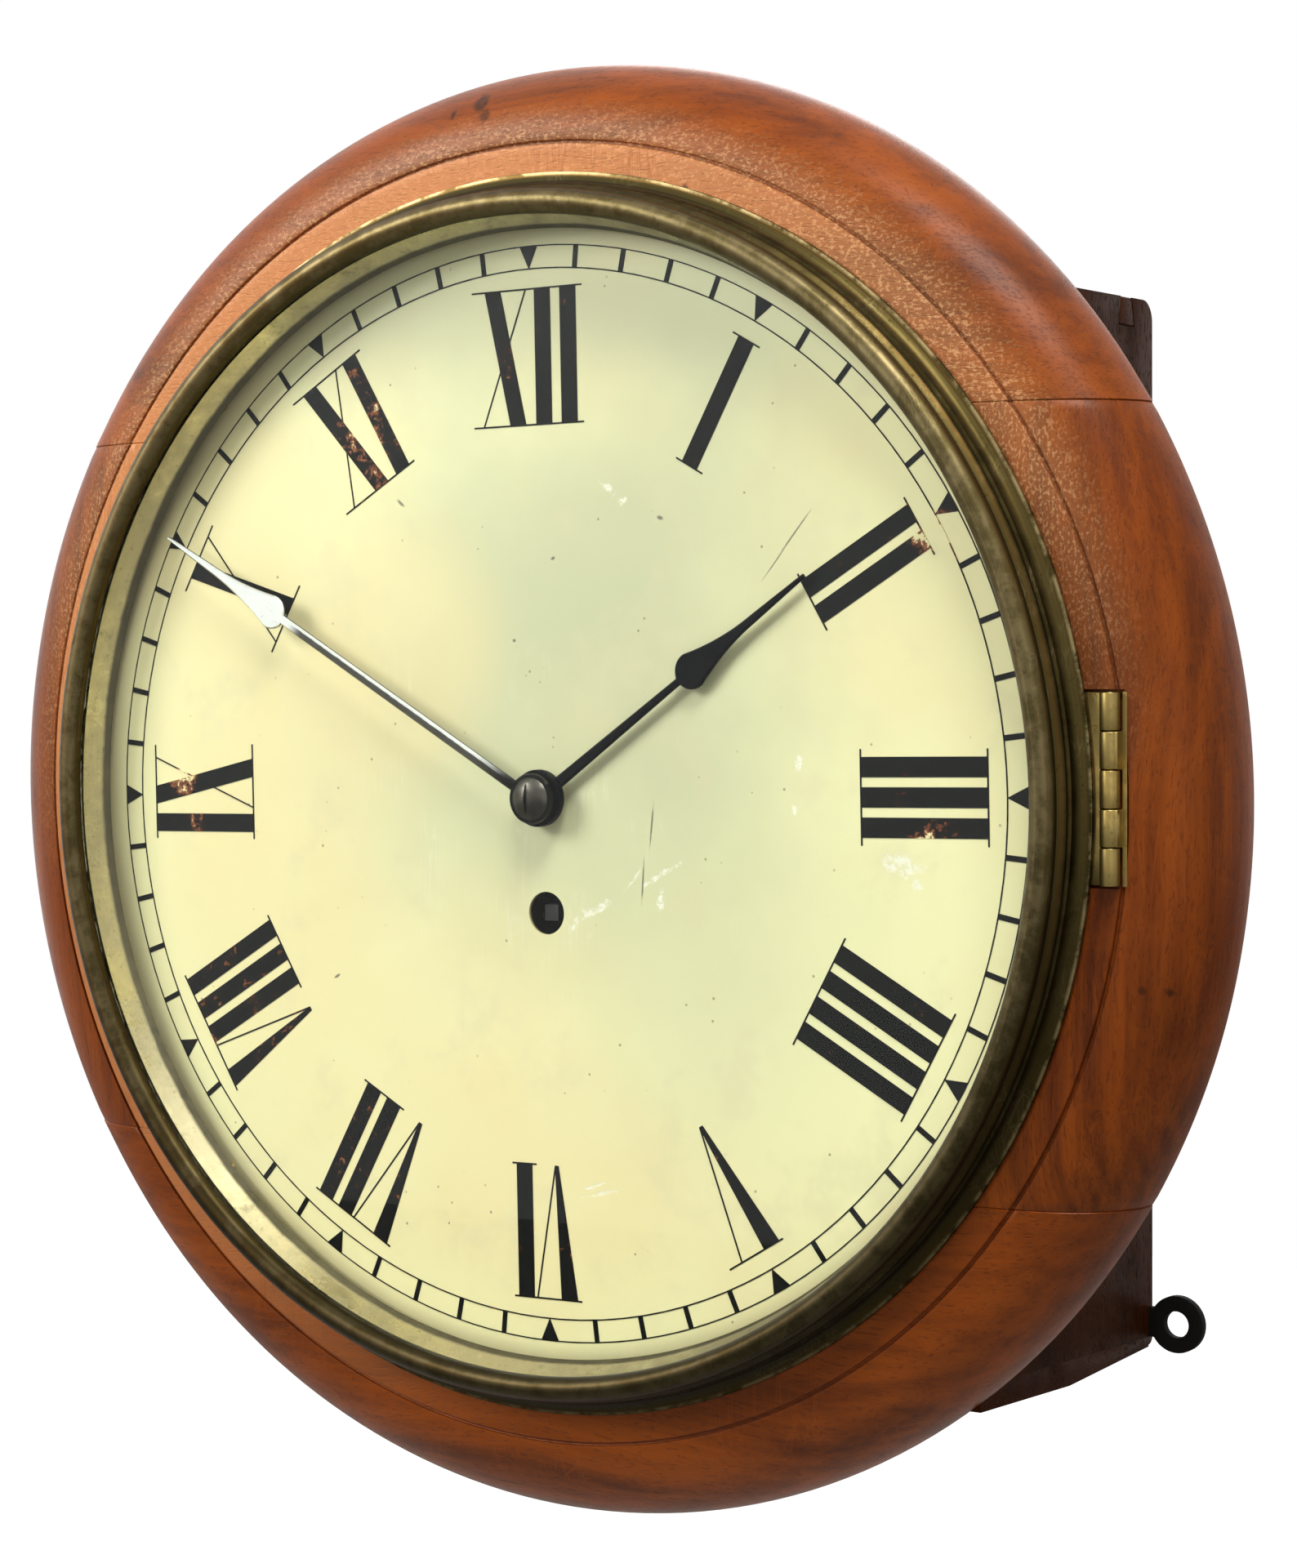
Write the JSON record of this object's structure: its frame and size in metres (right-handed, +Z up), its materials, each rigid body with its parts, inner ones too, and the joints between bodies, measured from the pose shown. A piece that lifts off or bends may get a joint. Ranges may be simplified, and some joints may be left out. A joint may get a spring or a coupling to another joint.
{
  "type": "fusee dial clock",
  "caption": "Round wall-hung dial clock: turned wooden surround, hinged brass bezel over a painted dial, and a box with a spring-driven fusee movement and short pendulum.",
  "frame": {"origin": "on the wall face, behind the centre of the dial", "axes": "+Y into the wall, +X to the right and +Z up as seen from the front; the dial faces -Y"},
  "size_m": [0.3956, 0.1419, 0.3956],
  "materials": {
    "mahogany": "satin",
    "pine": "matt",
    "black_iron": "matt",
    "gilt_brass": "aged",
    "clock_brass": "polished",
    "steel": "polished",
    "dial_white": "aged satin",
    "dial_black": "matt",
    "blued_steel": "gloss",
    "glass": "clear",
    "gut": "matt",
    "bob_brass": "aged"
  },
  "bodies": {
    "case": {"surround_top": "mahogany", "surround_bottom": "mahogany", "surround_left": "mahogany", "surround_right": "mahogany", "case_side_left": "mahogany", "case_side_right": "mahogany", "case_top": "mahogany", "case_bottom": "mahogany", "backboard": "pine", "case_blocks": "pine", "case_pegs": "pine", "wall_fittings": "black_iron", "case_screws": "clock_brass", "door_hinges": "gilt_brass", "bezel_hinge": "gilt_brass", "dial": "dial_white", "dial_figures": "dial_black", "front_plate": "clock_brass", "back_plate": "clock_brass", "plate_pillars": "clock_brass", "taper_pins": "steel", "fusee_line": "gut", "back_cock": "clock_brass", "suspension_spring": "steel", "motion_bridge": "clock_brass"},
    "bezel": {"bezel": "gilt_brass", "sight_ring": "gilt_brass", "glass": "glass", "bezel_leaf": "gilt_brass"},
    "bezel_catch": {"bezel_catch": "clock_brass"},
    "side_door": {"side_door": "mahogany", "side_door_leaf": "gilt_brass"},
    "side_button": {"side_button": "clock_brass"},
    "bottom_door": {"bottom_door": "mahogany", "bottom_door_leaf": "gilt_brass"},
    "bottom_button": {"bottom_button": "clock_brass"},
    "minute_arbor": {"centre_wheel": "clock_brass", "cannon_wheel": "clock_brass", "minute_hand": "steel", "hand_screw": "clock_brass"},
    "hour_work": {"hour_wheel": "clock_brass", "hour_hand": "blued_steel"},
    "minute_work": {"minute_wheel": "clock_brass"},
    "great_wheel": {"great_wheel": "clock_brass"},
    "third_arbor": {"third_wheel": "clock_brass"},
    "escape_arbor": {"escape_wheel": "clock_brass"},
    "fusee": {"fusee": "clock_brass", "fusee_arbor": "steel"},
    "fusee_click": {"fusee_click": "steel"},
    "barrel": {"barrel": "clock_brass", "barrel_cap": "clock_brass", "mainspring": "steel"},
    "barrel_arbor": {"barrel_arbor": "steel"},
    "setup_click": {"setup_click": "steel"},
    "stop_iron": {"stop_iron": "steel"},
    "anchor": {"pallets": "steel", "crutch": "steel"},
    "pendulum": {"pendulum_rod": "steel"},
    "bob": {"pendulum_bob": "bob_brass"},
    "rating_nut": {"rating_nut": "bob_brass"}
  },
  "joints": [
    {"name": "bezel_hinge", "type": "hinge", "parent": "case", "child": "bezel", "pos_m": [0.171, -0.1282, 0.005], "axis": [0, 0, 1], "range_deg": [0, 120]},
    {"name": "bezel_catch_slide", "type": "slide", "parent": "case", "child": "bezel_catch", "axis": [-1, 0, 0], "range_m": [0, 0.006]},
    {"name": "side_door_hinge", "type": "hinge", "parent": "case", "child": "side_door", "pos_m": [0.1243, -0.0223, 0], "axis": [0, 0, 1], "range_deg": [0, 100]},
    {"name": "side_button_turn", "type": "hinge", "parent": "case", "child": "side_button", "pos_m": [0.1223, -0.0847, 0.015], "axis": [1, 0, 0], "range_deg": [0, 90]},
    {"name": "bottom_door_hinge", "type": "hinge", "parent": "case", "child": "bottom_door", "pos_m": [0, -0.0223, -0.16166], "axis": [1, 0, 0], "range_deg": [0, 95]},
    {"name": "bottom_button_turn", "type": "hinge", "parent": "case", "child": "bottom_button", "pos_m": [0, -0.0847, -0.1604], "axis": [0, 0, 1], "range_deg": [0, 90]},
    {"name": "minute_turn", "type": "hinge", "parent": "case", "child": "minute_arbor", "pos_m": [0.002, -0.09, -0.0004], "axis": [0, 1, 0], "continuous": true},
    {"name": "hour_turn", "type": "hinge", "parent": "case", "child": "hour_work", "pos_m": [0.002, -0.107, -0.0004], "axis": [0, 1, 0], "continuous": true},
    {"name": "minute_wheel_turn", "type": "hinge", "parent": "case", "child": "minute_work", "pos_m": [0.02452, -0.101, 0.0126], "axis": [0, 1, 0], "continuous": true},
    {"name": "great_wheel_turn", "type": "hinge", "parent": "case", "child": "great_wheel", "pos_m": [0.002, -0.056, -0.0316], "axis": [0, 1, 0], "continuous": true},
    {"name": "third_turn", "type": "hinge", "parent": "case", "child": "third_arbor", "pos_m": [0.0142, -0.07, 0.0188], "axis": [0, 1, 0], "continuous": true},
    {"name": "escape_turn", "type": "hinge", "parent": "case", "child": "escape_arbor", "pos_m": [0.002, -0.08, 0.03525], "axis": [0, 1, 0], "continuous": true},
    {"name": "winding", "type": "hinge", "parent": "great_wheel", "child": "fusee", "pos_m": [0.002, -0.08, -0.0316], "axis": [0, 1, 0], "range_deg": [0, 2880]},
    {"name": "fusee_click_pivot", "type": "hinge", "parent": "great_wheel", "child": "fusee_click", "pos_m": [0.002, -0.0588, -0.0136], "axis": [0, 1, 0], "range_deg": [0, 12]},
    {"name": "barrel_turn", "type": "hinge", "parent": "case", "child": "barrel", "pos_m": [-0.054, -0.07, -0.0284], "axis": [0, 1, 0], "range_deg": [0, 1440]},
    {"name": "set_up", "type": "hinge", "parent": "case", "child": "barrel_arbor", "pos_m": [-0.054, -0.07, -0.0284], "axis": [0, 1, 0], "range_deg": [0, 360]},
    {"name": "setup_click_pivot", "type": "hinge", "parent": "case", "child": "setup_click", "pos_m": [-0.04188, -0.0988, -0.0214], "axis": [0, 1, 0], "range_deg": [0, 12]},
    {"name": "stop_iron_pivot", "type": "hinge", "parent": "case", "child": "stop_iron", "pos_m": [-0.0113, -0.0915, 0.0036], "axis": [-1, 0, 0], "range_deg": [0, 5]},
    {"name": "anchor_rock", "type": "hinge", "parent": "case", "child": "anchor", "pos_m": [0.002, -0.08, 0.05717], "axis": [0, 1, 0], "range_deg": [-3, 3]},
    {"name": "pendulum_swing", "type": "hinge", "parent": "case", "child": "pendulum", "pos_m": [0.002, -0.034, 0.05717], "axis": [0, 1, 0], "range_deg": [-3, 3]},
    {"name": "bob_slide", "type": "slide", "parent": "pendulum", "child": "bob", "axis": [0, 0, 1], "range_m": [-0.0025, 0.0025]},
    {"name": "rating_nut_turn", "type": "hinge", "parent": "bob", "child": "rating_nut", "pos_m": [0.002, -0.034, -0.13843], "axis": [0, 0, 1], "range_deg": [-1800, 1800]}
  ],
  "couplings": [
    {"joint": "hour_turn", "follows": "minute_turn", "ratio": 0.083333},
    {"joint": "minute_wheel_turn", "follows": "minute_turn", "ratio": -1},
    {"joint": "great_wheel_turn", "follows": "minute_turn", "ratio": -0.083333},
    {"joint": "third_turn", "follows": "minute_turn", "ratio": -12},
    {"joint": "escape_turn", "follows": "minute_turn", "ratio": 144},
    {"joint": "barrel_turn", "follows": "winding", "ratio": 0.5},
    {"joint": "anchor_rock", "follows": "pendulum_swing", "ratio": 1},
    {"joint": "rating_nut_turn", "follows": "bob_slide", "rad_per_m": 12566}
  ]
}
